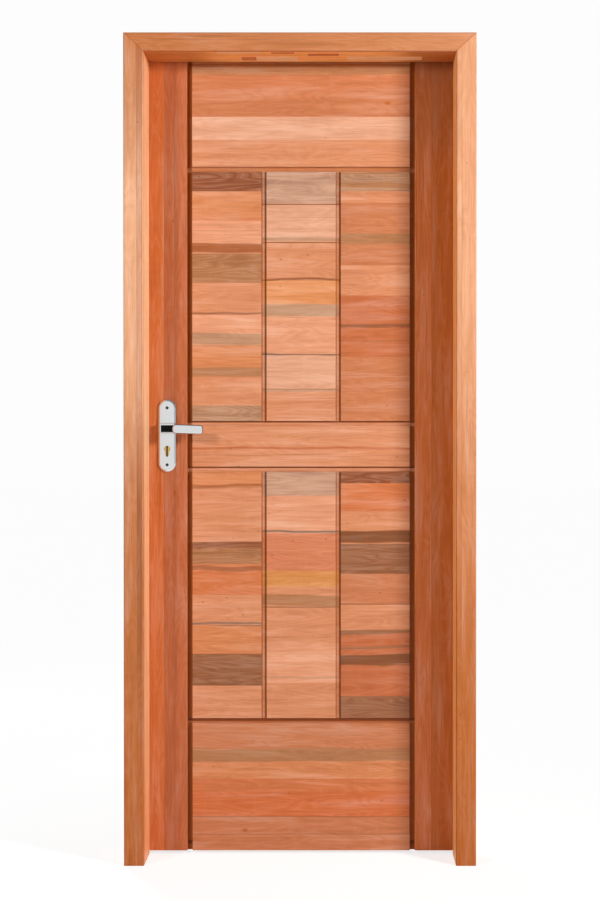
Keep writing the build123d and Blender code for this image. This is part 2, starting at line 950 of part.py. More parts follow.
def grip_outline():
    """The grip's back face."""
    half = grip_height / 2
    outline = make_face(
        Polyline(
            (grip_left, grip_z - half),
            (grip_right, grip_z - half),
            (grip_right, grip_z + half),
            (grip_left, grip_z + half),
            close=True,
        )
    )
    outline = fillet(outline.vertices().group_by(Axis.X)[0], grip_root_round)
    outline = fillet(outline.vertices().group_by(Axis.X)[-1], grip_tip_round)
    return Pos(0, grip_back, 0) * (Plane.XZ * outline)


def inlay_tile():
    """The tile let into the block's face."""
    top = spindle_z + inlay_height / 2 - inlay_drop
    back = block_front + inlay_thickness
    return block(inlay_left, neck_left, block_front, back, top - inlay_height, top)


def grub_screw():
    """The set screw that holds a lever on the spindle, from below."""
    middle = (block_foot + leaf_front - socket_depth) / 2
    return rod_z(
        spindle_x, middle, spindle_z - block_height / 2, spindle_z - spindle_side / 2, grub_radius
    )


# The pieces, by name


def finished_stiles():
    lock_stile = stile(LOCK_SIDE)
    lock_stile -= faceplate_blank(-leaf_half - overrun, case_front, joint_play)
    lock_stile -= block(
        -leaf_half - overrun,
        case_back + mortise_play,
        case_low_side - mortise_play,
        case_high_side + mortise_play,
        case_bottom - mortise_play,
        case_top + mortise_play,
    )
    front = leaf_front - overrun
    back = leaf_back + overrun
    lock_stile -= rod_y(spindle_x, front, back, spindle_z, spindle_hole_radius)
    lock_stile -= cylinder_bar(front, back, cylinder_play)
    lock_stile = drilled(lock_stile, faceplate_screw_places(), short_screw_length)
    plate_screw_places = front_plate_screw_places() + back_plate_screw_places()
    lock_stile = drilled(lock_stile, plate_screw_places, short_screw_length)
    return {"lock_stile": lock_stile, "hinge_stile": hinge_recessed(stile(HINGE_SIDE), LOCK_SIDE)}


def finished_frame():
    strike_jamb = side_jamb(LOCK_SIDE)
    strike_jamb -= strike_outline(-rebate_half + overrun, strike_back, joint_play)
    strike_jamb -= strike_box_blank(joint_play)
    strike_jamb = drilled(strike_jamb, strike_screw_places(), short_screw_length)
    head_places = head_screw_places(LOCK_SIDE) + head_screw_places(HINGE_SIDE)
    return {
        "strike_jamb": strike_jamb,
        "hinge_jamb": hinge_recessed(side_jamb(HINGE_SIDE), HINGE_SIDE),
        "head_jamb": drilled(head_jamb(), head_places, head_screw_length),
        "casing_left": side_casing(LOCK_SIDE),
        "casing_right": side_casing(HINGE_SIDE),
        "casing_head": head_casing(),
        "head_screws": screws(head_places, head_screw_length),
        "strike_plate": strike_plate(),
        "strike_box": strike_box(),
        "strike_screws": screws(strike_screw_places(), short_screw_length),
    }


def rails_and_panels():
    (low_rail, middle_rail, high_rail) = rail_spans()
    pieces = {
        "bottom_rail": rail(*low_rail, lip_below=0, lip_above=seam_width),
        "lock_rail": rail(*middle_rail, lip_below=seam_width, lip_above=seam_width),
        "top_rail": rail(
            *high_rail, lip_below=seam_width, lip_above=top_lip_height, tongue_above=False
        ),
    }
    rows = {
        "lower": (lower_panel_bottom, lower_panel_top),
        "upper": (upper_panel_bottom, upper_panel_top),
    }
    for row, (bottom, top) in rows.items():
        for column, place in enumerate(("left", "centre", "right")):
            pieces[f"panel_{row}_{place}"] = panel(column, bottom, top)
    return pieces


def hinges():
    jamb_knuckles = range(0, knuckle_count, 2)
    leaf_knuckles = range(1, knuckle_count, 2)
    pieces = {
        "hinge_jamb_screws": screws(all_hinge_screw_places(HINGE_SIDE), hinge_screw_length),
        "hinge_leaf_screws": screws(all_hinge_screw_places(LOCK_SIDE), hinge_screw_length),
    }
    for name, centre in hinge_heights.items():
        place = Pos(0, 0, centre)
        jamb_flap = place * flap(HINGE_SIDE, jamb_knuckles)
        leaf_flap = place * flap(LOCK_SIDE, leaf_knuckles)
        pieces[f"hinge_{name}_jamb_flap"] = drilled(
            jamb_flap, hinge_screw_places(HINGE_SIDE, centre), hinge_screw_length
        )
        pieces[f"hinge_{name}_leaf_flap"] = drilled(
            leaf_flap, hinge_screw_places(LOCK_SIDE, centre), hinge_screw_length
        )
        pieces[f"hinge_{name}_pin"] = place * hinge_pin()
    return pieces


def lock_pieces():
    front_side = leaf_middle - cam_thickness / 2
    back_side = leaf_middle + cam_thickness / 2
    return {
        "lock_case": lock_case(),
        "lock_cover": lock_cover(),
        "lock_faceplate": lock_faceplate(),
        "faceplate_screws": screws(faceplate_screw_places(), short_screw_length),
        "latch_bolt": latch_bolt(),
        "latch_spring": latch_spring(),
        "follower": follower(),
        "spindle": spindle_bar(leaf_front - socket_depth, leaf_back + socket_depth),
        "deadbolt": deadbolt(),
        "cylinder_body": cylinder_body(),
        "cylinder_screw": screws([cylinder_screw_place()], cylinder_screw_length),
        "front_plug": plug(cylinder_front, front_side, 1),
        "back_plug": plug(cylinder_back, back_side, -1),
        "lock_cam": lock_cam(),
    }


def furniture():
    front_plate = lock_plate()
    front_lever = lever()
    places = front_plate_screw_places() + back_plate_screw_places()
    return {
        "front_plate": front_plate,
        "back_plate": to_back(front_plate),
        "plate_screws": screws(places, short_screw_length),
        "front_lever": front_lever,
        "back_lever": to_back(front_lever),
        "front_inlay": inlay_tile(),
        "back_inlay": to_back(inlay_tile()),
        "lever_grub_screws": [grub_screw(), to_back(grub_screw())],
    }


os.makedirs("parts", exist_ok=True)
for group in (
    finished_frame(),
    finished_stiles(),
    rails_and_panels(),
    hinges(),
    lock_pieces(),
    furniture(),
):
    for name, shape in group.items():
        solids = Compound(shape) if isinstance(shape, list) else shape
        export_step(solids, f"parts/{name}.step")
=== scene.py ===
"""A glued-strip wood door in its frame: its woods, its metals and its studio."""

import json
import math
from types import SimpleNamespace

import bmesh
import bpy
from bpy.props import FloatProperty, FloatVectorProperty, PointerProperty
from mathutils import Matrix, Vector


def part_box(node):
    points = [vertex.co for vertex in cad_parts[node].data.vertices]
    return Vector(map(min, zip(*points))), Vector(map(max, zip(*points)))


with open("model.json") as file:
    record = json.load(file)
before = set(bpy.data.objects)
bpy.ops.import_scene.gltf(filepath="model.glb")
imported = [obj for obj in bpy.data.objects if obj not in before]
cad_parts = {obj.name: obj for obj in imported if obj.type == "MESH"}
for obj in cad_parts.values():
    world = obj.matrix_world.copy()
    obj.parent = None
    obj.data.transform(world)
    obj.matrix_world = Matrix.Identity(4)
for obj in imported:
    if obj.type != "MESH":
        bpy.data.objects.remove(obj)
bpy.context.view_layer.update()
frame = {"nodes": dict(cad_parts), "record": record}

bl_info = {
    "name": "Prehung Wood Door",
    "version": (1, 0, 0),
    "blender": (4, 5, 0),
    "location": "View3D > Sidebar > Door",
    "description": "Dresses a prehung door of glued wood strips and sets its studio",
    "category": "Object",
}

MM = 0.001
NODES = frame["nodes"]


def linear(code):
    """Turns an sRGB hex colour to linear light."""
    values = [int(code[i : i + 2], 16) / 255 for i in (0, 2, 4)]
    return tuple(v / 12.92 if v <= 0.04045 else ((v + 0.055) / 1.055) ** 2.4 for v in values)


def tone(name, description, code):
    """A colour that a user can change."""
    return FloatVectorProperty(
        name=name, description=description, default=linear(code), subtype="COLOR", size=3, min=0, max=1
    )


def length(name, description, millimetres):
    """A length that a user can change."""
    return FloatProperty(name=name, description=description, default=millimetres * MM, unit="LENGTH", min=0)


class DoorWood(bpy.types.PropertyGroup):
    """The tones of the strips and the sizes of their figure."""

    amber: tone("Amber", "The commonest strips of the leaf", "D18455")
    salmon: tone("Salmon", "Pinker strips", "D38B62")
    peach: tone("Peach", "Light strips", "DD9872")
    blush: tone("Blush", "The palest pink strips", "DBA07F")
    coral: tone("Coral", "Redder strips", "CE7749")
    russet: tone("Russet", "The reddest strips, low on the leaf", "CE7040")
    rose: tone("Rose", "The reddish strip of the middle column", "D07F59")
    gold: tone("Gold", "The yellowest strip, low in the middle column", "D18A4C")
    honey: tone("Honey", "Yellow strips of the middle column", "D98E59")
    ash: tone("Ash", "Weathered grey strips", "C5977C")
    drab: tone("Drab", "Grey brown heartwood", "BA8B6A")
    olive: tone("Olive", "Greenish brown heartwood", "B17850")
    bark: tone("Bark", "Orange brown heartwood", "A8623A")
    clay: tone("Clay", "Brick brown strips of the right column", "C57A51")
    rust: tone("Rust", "Darker red strips of the right column", "C16D44")
    walnut: tone("Walnut", "Dark brown heartwood, low on the right", "9C6645")
    # Bog: also painted shadow at the top of the hinge stile.
    bog: tone("Bog", "Near-black heartwood, low on the right", "85502F")
    umber: tone("Umber", "The darkest heartwood", "985B3B")
    slate: tone("Slate", "Thin blue-grey lines of sap", "836A5B")
    copper: tone("Copper", "The upright stiles", "D3763F")
    chestnut: tone("Chestnut", "Darker bands in the stiles", "C06A30")
    jamb: tone("Jamb", "The rebated frame", "F8C697")
    jamb_warm: tone("Jamb, warm", "Warmer lengths of the frame", "FFB266")
    jamb_low: tone("Jamb, low", "The frame near the floor", "EE9F69")
    casing: tone("Casing", "The casing's upper lengths", "E9AC83")
    # Casing, low: also painted shade at both ends of the head jamb.
    casing_low: tone("Casing, low", "The casing near the floor", "B86428")
    glue_line: tone("Glue line", "The thin line between two strips", "9A5C38")
    # Stain: the real dark of the knots and the mitre lines, and also painted shade in the deep grooves and
    # the shallow seams.
    stain_and_shade: tone("Stain", "Finish that gathers in the deep grooves", "A55208")
    # Painted shadow in the upper or right corners of the shallow seams.
    corner_shadow: tone("Gathered", "Old finish in the tight corners of the seams", "78330A")

    ring_length: length("Ring length", "How far a growth ring runs along the grain", 260)
    ring_width: length("Ring width", "How wide a field of rings is across the grain", 34)
    cloud_length: length("Cloud length", "Slow drift of tone along the grain", 240)
    cloud_width: length("Cloud width", "Slow drift of tone across the grain", 22)
    fibre_length: length("Fibre length", "Length of the fine streaks", 110)
    fibre_width: length("Fibre width", "Width of the fine streaks, drawn wide enough to show", 2.6)
    curl_length: length("Curl length", "Width of the faint bars across the grain", 14)
    curl_width: length("Curl width", "Length of the faint bars across the grain", 70)
    vein_length: length("Vein length", "Length of the thin dark veins", 300)
    vein_width: length("Vein width", "Width of the thin dark veins, drawn wide enough to show", 7)
    pore_spacing: length("Pore spacing", "Distance between the small dark pores", 40)
    glue_width: length("Glue width", "Thickness of the glue line", 0.7)
    wave_length: length("Wave length", "How soon the edge of a heartwood streak turns", 150)
    streak_wave: length("Streak wave", "How far the edge of a heartwood streak strays", 9)
    groove_width: length("Groove width", "Width of the deep grooves beside the stiles", 13)
    tongue: length("Tongue", "Reach of the tongue past a shallow seam", 11)
    # The depth under the face at which the painted shade in the deep grooves is full.
    groove_depth: length("Groove depth", "Depth under the face at which the finish has gathered", 7)


class DoorMetal(bpy.types.PropertyGroup):
    """The finishes of the handles, the lock and the hinges."""

    chrome: tone("Chrome", "Satin chrome of plates and levers", "DFE0E1")
    # Painted shade: the chrome's steep arrises are drawn darker.
    arris_shade: tone("Arris", "Dulled chrome on the steep arrises", "A2A7AB")
    tile: tone("Tile", "Black tile in the lever's block", "0B0B0C")
    brass: tone("Brass", "The key cylinder", "D2B06C")
    # Painted shade: a near-black line down the keyway of the key cylinder, as wide as the keyway width.
    keyway_shade: tone("Grease", "Old grease in the keyway", "100C09")
    steel: tone("Steel", "Zinc-plated lock and strike", "B4B3AF")
    hinge: tone("Hinge", "Rolled steel hinges", "BAB8B3")
    screw: tone("Screw", "Zinc-plated screws", "8E8C88")
    # Painted shade: the screws of the lock plates are drawn near-black for the shade in their recessed heads.
    plate_screw: tone("Plate screw", "Blackened screws of the lock plates", "454545")
    keyway_width: length("Keyway width", "Width of the greasy line through the key cylinder", 3.8)
    brush_length: length("Brush length", "Length of the polishing marks", 30)
    brush_width: length("Brush width", "Width of the polishing marks", 1.2)


class DoorStage(bpy.types.PropertyGroup):
    """The studio and the camera."""

    floor: tone("Floor", "Floor and backdrop", "FDFDFD")
    bounce: tone("Bounce", "Light that the floor throws back on the door", "FFF8F0")
    sides: tone("Sides", "What metal mirrors of the studio's sides", "7C8B96")
    camera_across: FloatProperty(
        name="Camera across", default=0.1004, unit="LENGTH", description="How far to the right it stands"
    )
    camera_back: FloatProperty(
        name="Camera back", default=3.8629, unit="LENGTH", description="How far in front it stands"
    )
    camera_height: FloatProperty(
        name="Camera height", default=1.1029, unit="LENGTH", description="How high over the floor it stands"
    )
    camera_dip: FloatProperty(
        name="Camera dip", default=math.radians(0.428), subtype="ANGLE", description="How far it looks down"
    )
    lens: FloatProperty(name="Lens", default=59.78, min=1, description="Focal length in millimetres")
    camera_shift: FloatProperty(
        name="Camera shift", default=-0.0432, description="Sideways shift of the lens"
    )
    key_power: FloatProperty(
        name="Key power", default=144, min=0, description="Watts of the lamp on the right"
    )
    fill_power: FloatProperty(
        name="Fill power", default=51, min=0, description="Watts of the lamp on the left"
    )
    back_power: FloatProperty(
        name="Back power", default=90, min=0, description="Watts of the lamp behind the door"
    )
    world_light: FloatProperty(name="Sky", default=0.04, min=0, description="Strength of the even light")


# Each board: the axes along its grain, across it and through it, and its strips, each with a width in
# millimetres and a tone. Strips run from the top down, from left to right or from the front to the back.
# The last strip takes what is left.
BOARDS = {
    "panel_upper_left": (
        "XZY",
        (
            (50.5, "umber"), (77.5, "amber"), (87, "peach"), (77.5, "olive"), (86.5, "salmon"), (80, "peach"),
            (85, "amber"), (74, "salmon"), (41, "drab"),
        ),
    ),
    "panel_upper_centre": (
        "XZY",
        (
            (85.5, "ash"), (100.5, "blush"), (101, "salmon"), (97, "honey"), (99, "peach"), (93, "blush"),
            (84, "salmon"),
        ),
    ),
    "panel_upper_right": (
        "XZY",
        (
            (50, "drab"), (32, "salmon"), (80, "clay"), (85, "clay"), (80, "salmon"), (82, "rust"),
            (80, "rust"), (93, "clay"), (78, "clay"),
        ),
    ),
    "panel_lower_left": (
        "XZY",
        (
            (40, "amber"), (146, "salmon"), (58, "olive"), (82, "coral"), (80, "salmon"), (78.5, "amber"),
            (83, "walnut"), (88, "salmon"),
        ),
    ),
    "panel_lower_centre": (
        "XZY",
        (
            (62.5, "ash"), (99.5, "peach"), (101, "rose"), (43, "gold"), (53, "salmon"), (95, "salmon"),
            (106, "peach"), (88, "salmon"),
        ),
    ),
    "panel_lower_right": (
        "XZY",
        (
            (29, "umber"), (74, "coral"), (88, "salmon"), (80, "walnut"), (80, "clay"), (72, "salmon"),
            (88, "rust"), (85, "rust"), (60, "walnut"),
        ),
    ),
    "top_rail": ("XZY", ((39, "amber"), (112, "clay"), (61.5, "blush"), (90, "salmon"))),
    "lock_rail": ("XZY", ((162, "salmon"),)),
    "bottom_rail": (
        "XZY",
        ((93, "clay"), (78, "amber"), (34, "coral"), (67, "russet"), (47, "clay"), (60, "clay")),
    ),
    "lock_stile": ("ZXY", ((47, "copper"), (27, "rust"), (36, "rust"))),
    "hinge_stile": ("ZXY", ((44.5, "copper"), (63.5, "chestnut"))),
    "strike_jamb": ("ZYX", ((60, "jamb"), (80, "jamb"))),
    "hinge_jamb": ("ZYX", ((45, "jamb_warm"), (95, "jamb_warm"))),
    "head_jamb": ("XYZ", ((32, "jamb_warm"), (44, "jamb_warm"), (64, "jamb_warm"))),
    "casing_left": ("ZXY", ((35, "casing"), (13, "blush"), (4, "casing"))),
    "casing_right": ("ZXY", ((14, "casing"), (38, "casing"))),
    "casing_head": ("XZY", ((48, "casing"),)),
}

# Heartwood streaks with straying edges, in millimetres from the same side as the strips.
STREAKS = {
    "panel_upper_left": (
        (125, 129, "coral"), (190, 214, "bark"), (374, 378, "umber"), (430, 460, "drab"), (519, 543, "olive"),
    ),
    "panel_upper_centre": (
        (176, 185, "drab"), (283, 288, "umber"), (352, 384, "drab"), (482, 486, "slate"), (576, 581, "drab"),
    ),
    "panel_upper_right": (
        (4, 8, "olive"), (30, 44, "olive"), (163, 192, "olive"), (404, 412, "umber"), (446, 449, "bark"),
    ),
    "panel_lower_left": ((35, 41, "bark"), (187, 205, "umber"), (250, 262, "bark"), (404, 408, "slate")),
    "panel_lower_centre": ((158, 163, "slate"), (329, 358, "olive"), (546, 549, "drab")),
    "panel_lower_right": ((158, 190, "bog"), (422, 434, "walnut"), (466, 472, "walnut"), (488, 514, "bog")),
    "top_rail": ((16, 40, "olive"),),
    "lock_rail": ((80, 86, "rust"),),
    "bottom_rail": ((93, 126, "olive"),),
}

# Round knots on a board, and blocks let in by finger joints: centre along and across the grain and half
# sizes, in millimetres of the frame. A block also has a tone.
KNOTS = {
    "lock_stile": ((959, -335, 8, 4),),
    "bottom_rail": ((-149, 62, 9, 5),),
    "top_rail": ((230, 1992, 9, 4),),
    "panel_lower_right": ((176, 841, 5, 3),),
}
BLOCKS = {
    "head_jamb": (
        (-62, 68, 54, 20, "jamb"), (-135, 68, 19, 18, "coral"), (220, 66, 98, 18, "jamb"),
        (-160, 8, 55, 8, "jamb"), (-45, 12, 30, 8, "coral"), (60, 30, 40, 12, "coral"),
    ),
}

# Slow changes of tone along a board, from its foot up or from its left: the tone, the two edges of the strip
# that takes it in millimetres, or None for the whole board, and places along it with the tone's share there.
DRIFTS = {
    "casing_left": (
        (
            "casing_low", None,
            ((0, 0.95), (0.3, 0.85), (0.45, 0.75), (0.6, 0.1), (0.8, 0), (0.88, 0.25), (0.95, 0.5), (1, 0.7)),
        ),
        (
            "bog", (35, 48),
            (
                (0, 0), (0.13, 0.05), (0.2, 0.2), (0.3, 0.5), (0.42, 0.5), (0.5, 0.2), (0.6, 0), (0.85, 0),
                (0.9, 0.2),
            ),
        ),
    ),
    "casing_right": (
        (
            "casing_low", None,
            ((0, 1), (0.25, 0.9), (0.45, 0.65), (0.6, 0.42), (0.72, 0.15), (0.85, 0.2), (1, 0.3)),
        ),
    ),
    "casing_head": (("casing_low", None, ((0, 0.8), (0.6, 0.7), (1, 0.55))),),
    "strike_jamb": (
        (
            "jamb_low", None,
            ((0, 1), (0.2, 0.5), (0.43, 0.5), (0.55, 0.1), (0.75, 0.1), (0.86, 0.4), (0.95, 0.5), (1, 0.8)),
        ),
    ),
    # Painted shade: the head jamb's underside is darker towards both ends, where the jambs keep the lamps off
    # it.
    "head_jamb": (
        ("casing_low", None, ((0, 0.8), (0.15, 0.65), (0.28, 0), (0.75, 0), (0.88, 0.75), (1, 0.9))),
    ),
    # Painted shadow: the hinge stile is darker at its top, under the head.
    "hinge_stile": (("bog", None, ((0, 0), (0.85, 0), (0.95, 0.4), (1, 0.7))),),
}

# How strongly the clouds and the growth rings of a tone show, and those of all other tones.
FIGURED = {
    "umber": (1.0, 0.85), "olive": (0.7, 0.5), "ash": (1.0, 0.3), "drab": (0.9, 0.4), "walnut": (0.8, 0.55),
}
PLAIN = (0.36, 0.2)

# Patterns of the wood: settings for the length along the grain and the width across it, then the detail,
# roughness and distortion of the noise.
FIGURE = {
    "clouds": ("cloud_length", "cloud_width", 3.0, 0.55, 0.5),
    "field": ("ring_length", "ring_width", 1.5, 0.4, 0.3),
    "fibres": ("fibre_length", "fibre_width", 4.0, 0.65, 0.0),
    "veins": ("vein_length", "vein_width", 2.0, 0.5, 0.2),
    "curl": ("curl_length", "curl_width", 1.0, 0.5, 0.4),
    "wave": ("wave_length", "ring_length", 2.0, 0.5, 0.0),
}

# How a pattern colours the wood: where it starts, where it is full, its full share, or the channel of the
# strip's traits that holds it, and the shade it brings.
LAYERS = (
    ("clouds", 0.5, 0.28, 0.75, "pale"),
    ("clouds", 0.5, 0.7, "Green", "dark"),
    ("rings", 0.16, 0.0, "Blue", "pale"),
    ("rings", 0.3, 0.5, "Blue", "dark"),
    ("fibres", 0.5, 0.7, "Green", "dark"),
    ("veins", 0.63, 0.72, 0.5, "dark"),
    ("curl", 0.5, 0.8, 0.1, "pale"),
    ("pores", 0.05, 0.03, 0.6, "line"),
    ("ends", 0.6, 0.9, 0.7, "dark"),
)

# What a shade does to the tone it falls on: the hue, where 0.5 keeps it, the saturation and the value.
SHADES = {"dark": (0.494, 1.04, 0.66), "pale": (0.503, 0.82, 1.14), "line": (0.5, 1.1, 0.35)}

# Boards beside the deep grooves, where painted shade darkens the sunk faces, and how far from their lower and
# upper ends the shallow lips reach, in millimetres.
SHADED_GROOVES = {
    "panel_upper_left": (0, 0), "panel_upper_right": (0, 0), "panel_lower_left": (0, 0),
    "panel_lower_right": (0, 0), "bottom_rail": (0, 24), "lock_rail": (24, 24), "top_rail": (24, 0),
    "lock_stile": (0, 0), "hinge_stile": (0, 0),
}

# Boards with a shallow seam along their edges, whose sunk lips get painted shade: the axis across it, how
# much painted shade lies all over it and in its lower or left corner, how much painted shadow in its upper or
# right corner, and how far that reaches in millimetres.
SEAMS = {
    "panel_upper_centre": ("X", 0.3, 0.75, 0.8, 4.5),
    "panel_lower_centre": ("X", 0.3, 0.75, 0.8, 4.5),
    "bottom_rail": ("Z", 0.3, 0.3, 0.9, 10),
    "lock_rail": ("Z", 0.1, 0.15, 0.9, 5),
    "top_rail": ("Z", 0.45, 0.45, 0.3, 5),
}

# The strips' places in the noise: how many there are, and how far apart all of them reach.
SEED_STEPS = 16
SEED_REACH = 90.0
# Rings in a field, the half at which a ring turns back, how close pores lie along the grain, as a share of
# how close they lie across it, and the soft edge of a streak.
RINGS_IN_FIELD = 13.0
RING_HALF = 0.5
PORE_STRETCH = 0.55
STREAK_EDGE = 1.2 * MM
# Where a knot's stain starts and where it is full, in halves of the knot, and its full share.
KNOT_RIM = 1.3
KNOT_HEART = 0.3
KNOT_SHARE = 0.75
# Painted shade in a deep groove: the depth where it starts, its full share, and its slack past the groove's
# edges.
GROOVE_RIM = 2 * MM
GROOVE_SHARE = 0.9
SLACK = 1 * MM
# Painted shade in a shallow seam: the depths where it starts and is full, the distances from a corner where
# the painted shade starts and is full, and the fade of the painted shadow in the far corner. Half the line of
# a mitre.
SEAM_RIM = 1.5 * MM
SEAM_FLOOR = 4 * MM
SEAM_SHADE_START = 3.5 * MM
SEAM_SHADE_FULL = 1 * MM
CORNER_SHADOW_FADE = 2 * MM
MITRE_HALF = 0.8 * MM
# The oiled surface: roughness from fibre to fibre, refraction, the dry oil's sheen, and the raised grain.
WOOD_ROUGHNESS = (0.42, 0.6)
OIL_IOR = 1.5
OIL_SPECULAR = 0.25
GRAIN_STRENGTH = 0.25
GRAIN_HEIGHT = 0.3 * MM

# Each metal: its tone among the settings and its roughness.
METALS = {
    "satin_chrome": ("chrome", 0.24),
    "satin_brass": ("brass", 0.3),
    "zinc_plated_steel": ("steel", 0.34),
    "rolled_steel": ("hinge", 0.36),
    "screw_steel": ("screw", 0.38),
    # Near-black screws: painted shade in their recessed heads.
    "blackened_steel": ("plate_screw", 0.45),
}
# The record's slots of the lock, the strike, the hinges and the screws, and the metal of each.
SLOTS = {
    "cylinder_brass": "satin_brass",
    "lock_steel": "zinc_plated_steel",
    "hinge_steel": "rolled_steel",
    "screw_steel": "screw_steel",
}
# Polishing marks: their detail, how far they part the roughness and the value, and their relief.
MARK_DETAIL = 3.0
MARK_ROUGHNESS = 0.06
MARK_VALUE = (0.94, 1.04)
MARK_STRENGTH = 0.08
MARK_HEIGHT = 0.05 * MM
# Painted shade on the chrome's steep arrises: how much of a surface faces the front or the back where the
# painted shade starts and where it is full.
ARRIS_START = 0.86
ARRIS_FULL = 0.68
# The tile's skin: the size of its orange peel, what that does to the value, its relief and its gloss.
PEEL_SIZE = 3 * MM
PEEL_VALUE = (0.8, 1.3)
PEEL_STRENGTH = 0.05
PEEL_HEIGHT = 0.1 * MM
TILE_ROUGHNESS = 0.16
TILE_IOR = 1.5
TILE_SPECULAR = 0.08

# The floor: half its side, the distances over which it turns from shaded paint to plain white glow, and its
# glow and its paint at these two distances.
FLOOR_HALF = 30
FADE_START = 0.5
FADE_END = 1.6
FLOOR_GLOW = (0.76, 0.99)
FLOOR_PAINT = (0.34, 0.02)
# How far to the side a mirrored ray turns, as its way forward, where the studio's sides start and are full.
SIDES_START = -0.94
SIDES_FULL = -0.62
# Each lamp's place and the side of its square, and where all of them aim, in metres. The camera's sensor is
# in millimetres.
LAMPS = {"key": ((3.0, -2.2, 2.4), 0.6), "fill": ((-2.2, -2.4, 2.4), 0.6), "back": ((-1.6, 3.0, 2.4), 1.2)}
AIM = Vector((0, 0.1, 0.9))
SENSOR_WIDTH = 36


def add(tree, kind, inputs=None, **settings):
    """Adds a shader node with its settings, and links or sets its inputs."""
    new = tree.nodes.new("ShaderNode" + kind)
    for name, value in settings.items():
        setattr(new, name, value)
    for key, value in (inputs or {}).items():
        if isinstance(value, bpy.types.NodeSocket):
            tree.links.new(value, new.inputs[key])
        else:
            new.inputs[key].default_value = value
    return new


def calc(tree, operation, *values):
    """One step of arithmetic on numbers."""
    return add(tree, "Math", dict(enumerate(values)), operation=operation).outputs["Value"]


def calc_vector(tree, operation, *values):
    """One step of arithmetic on vectors."""
    return add(tree, "VectorMath", dict(enumerate(values)), operation=operation).outputs["Vector"]


def span(tree, vector):
    """The length of a vector."""
    return add(tree, "VectorMath", {0: vector}, operation="LENGTH").outputs["Value"]


def remap(tree, value, start, full, least=0.0, most=1.0):
    """Runs evenly from least, where the value is at its start, to most, where it is full."""
    inputs = {"Value": value, "From Min": start, "From Max": full, "To Min": least, "To Max": most}
    return add(tree, "MapRange", inputs).outputs["Result"]


def blend(tree, under, layers):
    """Lays tones over what is under them, one after another: pairs of a share and a tone."""
    for share, over in layers:
        over = over if isinstance(over, bpy.types.NodeSocket) else (*over, 1)
        under = add(tree, "Mix", {"Factor": share, 6: under, 7: over}, data_type="RGBA").outputs[2]
    return under


def paint_ramp(tree, place, stops, interpolation):
    """A ramp over a place from nought to one, given by stops of place and colour. Returns its outputs."""
    ramp = add(tree, "ValToRGB", {"Fac": place})
    ramp.color_ramp.interpolation = interpolation
    elements = ramp.color_ramp.elements
    while len(elements) > 1:
        elements.remove(elements[-1])
    for index, (position, colour) in enumerate(stops):
        element = elements.new(position) if index else elements[0]
        element.position = position
        element.color = colour
    return ramp.outputs


def new_material(name):
    """A material with an empty tree, and that tree."""
    material = bpy.data.materials.new(name)
    material.use_nodes = True
    material.node_tree.nodes.clear()
    return material, material.node_tree


def finish_shader(tree, colour, inputs):
    """Ends a tree with one surface shader."""
    shader = add(tree, "BsdfPrincipled", {"Base Color": colour, **inputs})
    add(tree, "OutputMaterial", {"Surface": shader.outputs["BSDF"]})


def lay_board(tree, node):
    """A board's coordinates: places along, across and through its grain, and shares of its two sizes."""
    axes = BOARDS[node][0]
    low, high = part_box(node)
    coordinates = add(tree, "TexCoord").outputs
    place = add(tree, "SeparateXYZ", {"Vector": coordinates["Object"]}).outputs
    along, across, through = (place[axis] for axis in axes)
    run, breadth = ("XYZ".index(axis) for axis in axes[:2])
    first, last = low[breadth], high[breadth]
    if axes[1] == "Z":
        first, last = last, first
    facing = add(tree, "SeparateXYZ", {"Vector": coordinates["Normal"]}).outputs[axes[0]]
    return SimpleNamespace(
        node=node,
        place=place,
        across=across,
        grain=add(tree, "CombineXYZ", {"X": along, "Y": across, "Z": through}).outputs["Vector"],
        first=first,
        last=last,
        width=abs(last - first),
        share=remap(tree, across, first, last),
        run=remap(tree, along, low[run], high[run]),
        end_grain=calc(tree, "ABSOLUTE", facing),
    )


def strip_bands(board, wood):
    """Tones and traits of a board's strips by their starts, with a glue line between two strips."""
    tones = []
    traits = []
    start = 0.0
    half_line = wood.glue_width / board.width / 2
    for index, (strip, name) in enumerate(BOARDS[board.node][1]):
        if index:
            tones.append((start - half_line, (*wood.glue_line, 1)))
        tones.append((start + (half_line if index else 0), (*getattr(wood, name), 1)))
        clouds, rings = FIGURED.get(name, PLAIN)
        traits.append((start, ((index + 1) / SEED_STEPS, clouds, rings, 1)))
        start += strip * MM / board.width
    return tones, traits


def streak_bands(board, wood):
    """Stops of a ramp whose alpha shows the heartwood streaks of a board."""
    stops = [(0.0, (*wood.glue_line, 0))]
    soft = STREAK_EDGE / board.width
    for start, end, name in STREAKS[board.node]:
        colour = tuple(getattr(wood, name))
        first = start * MM / board.width
        last = end * MM / board.width
        stops += [(first - soft, (*colour, 0)), (first + soft, (*colour, 1))]
        stops += [(last - soft, (*colour, 1)), (last + soft, (*colour, 0))]
    return stops


